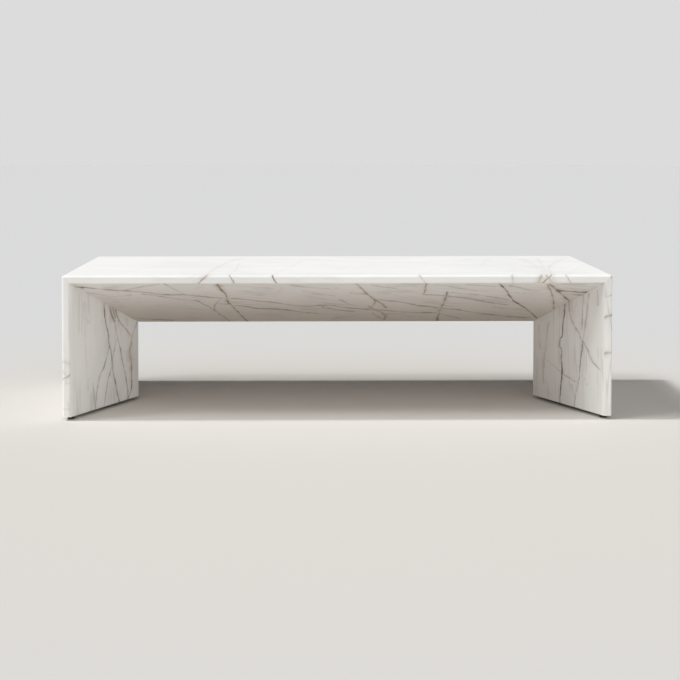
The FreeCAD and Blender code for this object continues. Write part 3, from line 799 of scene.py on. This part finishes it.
def add_thread(shape, start, end):
    """A right-hand thread round the Z axis. Its spare turns are cut off, and both its ends are flat."""
    turns = math.ceil((end - start) / thread_pitch) + spare_turns_below + spare_turns_above
    lowest = start - spare_turns_below * thread_pitch
    outline = []
    for turn in range(turns):
        for share, cut in thread_outline:
            level = lowest + (turn + share) * thread_pitch
            outline.append(shape.verts.new((thread_radius - cut, 0, level)))
    edges = [shape.edges.new(pair) for pair in zip(outline, outline[1:])]
    climb = Vector((0, 0, thread_pitch / turn_steps))
    bmesh.ops.spin(shape, geom=outline + edges, axis=(0, 0, 1), dvec=climb, angle=math.tau, steps=turn_steps)
    bmesh.ops.remove_doubles(shape, verts=shape.verts, dist=thread_pitch / 100)
    for level, outwards in ((start, -1), (end, 1)):
        everything = shape.verts[:] + shape.edges[:] + shape.faces[:]
        cut = bmesh.ops.bisect_plane(shape, geom=everything, plane_co=(0, 0, level),
                                     plane_no=(0, 0, outwards), clear_outer=True)
        rim = [part for part in cut["geom_cut"] if isinstance(part, bmesh.types.BMEdge)]
        bmesh.ops.edgeloop_fill(shape, edges=rim)


def add_prism(shape, sides, radius, start, end):
    """An upright prism or cylinder round the Z axis. Returns its edges."""
    upright = Matrix.Translation((0, 0, (start + end) / 2)) @ Matrix.Rotation(math.pi / 2, 4, "Z")
    made = bmesh.ops.create_cone(shape, cap_ends=True, segments=sides, radius1=radius, radius2=radius,
                                 depth=end - start, matrix=upright)
    return list({edge for vert in made["verts"] for edge in vert.link_edges})


def make_stem(node_name):
    """A threaded stem, at the levels and in the place of the plain one."""
    low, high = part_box(node_name)
    levels = sorted({round(vertex.co.z, 5) for vertex in nodes[node_name].data.vertices})
    spigot_bottom, collar_bottom, collar_top = levels[:3]
    shape = bmesh.new()
    add_thread(shape, collar_top, levels[-1])
    add_prism(shape, turn_steps, spigot_radius, spigot_bottom, collar_bottom)
    collar_edges = add_prism(shape, collar_sides, (high.x - low.x) / 2, collar_bottom, collar_top)
    bmesh.ops.bevel(shape, geom=collar_edges, offset=collar_bevel, affect="EDGES", segments=2, profile=0.5,
                    material=-1)
    bmesh.ops.recalc_face_normals(shape, faces=shape.faces)
    bmesh.ops.translate(shape, verts=shape.verts, vec=((low.x + high.x) / 2, (low.y + high.y) / 2, 0))
    for face in shape.faces:
        face.smooth = True
    for edge in shape.edges:
        edge.smooth = edge.calc_face_angle(math.pi) < smooth_below
    mesh = bpy.data.meshes.new(f"threaded_{node_name}")
    shape.to_mesh(mesh)
    shape.free()
    mesh.materials.append(turned_steel)
    stem = bpy.data.objects.new(f"threaded_{node_name}", mesh)
    bpy.context.scene.collection.objects.link(stem)
    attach(stem, node_name.replace("_foot_stem", "_stem"))
    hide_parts(node_name)


for node_name in [name for name in nodes if name.endswith("_stem")]:
    make_stem(node_name)


# The foot pads are moulded black nylon, with a fine matt grain. A pad stays still on the floor while the
# stem's spigot turns in it, and its lowest edge is scuffed where it meets the floor.

nylon_black = (0.022, 0.022, 0.024, 1)
nylon_scuffed = (0.085, 0.083, 0.080, 1)
scuff_heights = (2.2 * mm, 0.4 * mm)
scuff_grain = {"scale": 260, "detail": 4}
scuff_range = (0.42, 0.62)
mould_grain = {"scale": 2400, "detail": 2}
mould_range = (0.3, 0.7, 0.48, 0.62)
mould_depth = 0.1 * mm
mould_strength = 0.3


def make_nylon():
    material = bpy.data.materials.new("black_nylon")
    material.use_nodes = True
    tree = Tree(material.node_tree)
    place = tree.add("ShaderNodeTexCoord").outputs["Object"]
    height = tree.add("ShaderNodeSeparateXYZ", {"Vector": place}).outputs["Z"]
    low_down = tree.fade(height, *scuff_heights)
    worn = tree.fade(tree.noise(place, **scuff_grain), *scuff_range)
    scuffs = tree.math("MULTIPLY", low_down, worn)
    surface = material.node_tree.nodes["Principled BSDF"]
    tree.feed(surface.inputs["Base Color"], tree.blend(scuffs, nylon_black, nylon_scuffed))
    matt = tree.noise(place, **mould_grain)
    tree.feed(surface.inputs["Roughness"], tree.fade(matt, *mould_range))
    tree.feed(surface.inputs["Normal"], tree.bump(matt, mould_depth, mould_strength))
    return material


nylon = make_nylon()
for node_name in nodes:
    if node_name.endswith("_pad"):
        dress(node_name, nylon)


# The stage is a pale floor, warm and bright round a point in front of the table and a little greyer far off,
# where it meets a plain backdrop that shows as the same grey.

floor_near = (0.70, 0.67, 0.63, 1)
floor_far = (0.664, 0.661, 0.655, 1)
backdrop_grey = (0.715, 0.715, 0.715, 1)
floor_reach = 40.0
floor_sides = 96
floor_roughness = 0.9
warm_point_in_front = 0.7
warm_radius = 1.0
grey_radius = 2.9


def make_floor():
    mesh = bpy.data.meshes.new("floor")
    sheet = bmesh.new()
    bmesh.ops.create_circle(sheet, cap_ends=True, segments=floor_sides, radius=floor_reach)
    sheet.to_mesh(mesh)
    sheet.free()
    floor = bpy.data.objects.new("floor", mesh)
    bpy.context.scene.collection.objects.link(floor)
    material = bpy.data.materials.new("floor_paint")
    material.use_nodes = True
    tree = Tree(material.node_tree)
    place = tree.add("ShaderNodeTexCoord").outputs["Object"]
    from_warm_point = tree.stretch(place, shift=(0, warm_point_in_front, 0))
    distance = tree.add("ShaderNodeVectorMath", {0: from_warm_point}, operation="LENGTH").outputs["Value"]
    colour = tree.blend(tree.fade(distance, warm_radius, grey_radius), floor_near, floor_far)
    surface = material.node_tree.nodes["Principled BSDF"]
    tree.feed(surface.inputs["Base Color"], colour)
    surface.inputs["Roughness"].default_value = floor_roughness
    surface.inputs["Specular IOR Level"].default_value = 0.0
    mesh.materials.append(material)


make_floor()


# The light is a faint even sky and three lamps: a soft one high on the left, a wider one beside it that leans
# to the front, and a very wide one low in front, which brightens the shadows. The sky shows as the backdrop's
# grey to the camera and in reflections.

sky_strength = 0.06
key_strength = 1.85
key_colour = (0.975, 0.99, 1.0)
key_softness = math.radians(5)
key_turn = (0, math.radians(-38), 0)
side_strength = 1.0
side_softness = math.radians(18)
side_turn = (math.radians(13), math.radians(-38), 0)
fill_strength = 2.22
fill_colour = (1, 1, 1)
fill_softness = math.radians(150)
fill_turn = (math.radians(82), 0, math.radians(16))


def make_sky():
    world = bpy.data.worlds.new("even_sky")
    world.use_nodes = True
    tree = Tree(world.node_tree)
    rays = tree.add("ShaderNodeLightPath").outputs
    seen = tree.math("MAXIMUM", rays["Is Camera Ray"], rays["Is Glossy Ray"])
    seen = tree.math("MAXIMUM", seen, rays["Is Transmission Ray"])
    light = world.node_tree.nodes["Background"]
    light.inputs["Color"].default_value = (1, 1, 1, 1)
    light.inputs["Strength"].default_value = sky_strength
    shown = tree.add("ShaderNodeBackground", {"Color": backdrop_grey, "Strength": 1.0})
    mixed = tree.add("ShaderNodeMixShader", {0: seen, 1: light.outputs[0], 2: shown.outputs[0]})
    tree.feed(world.node_tree.nodes["World Output"].inputs["Surface"], mixed.outputs[0])
    bpy.context.scene.world = world


def make_lamp(name, strength, colour, softness, turn):
    sun = bpy.data.lights.new(name, "SUN")
    sun.color = colour
    sun.energy = strength
    sun.angle = softness
    lamp = bpy.data.objects.new(name, sun)
    lamp.rotation_euler = turn
    bpy.context.scene.collection.objects.link(lamp)


make_sky()
make_lamp("soft_lamp", key_strength, key_colour, key_softness, key_turn)
make_lamp("wide_side_lamp", side_strength, key_colour, side_softness, side_turn)
make_lamp("wide_front_lamp", fill_strength, fill_colour, fill_softness, fill_turn)
bpy.context.scene.view_settings.view_transform = "Standard"
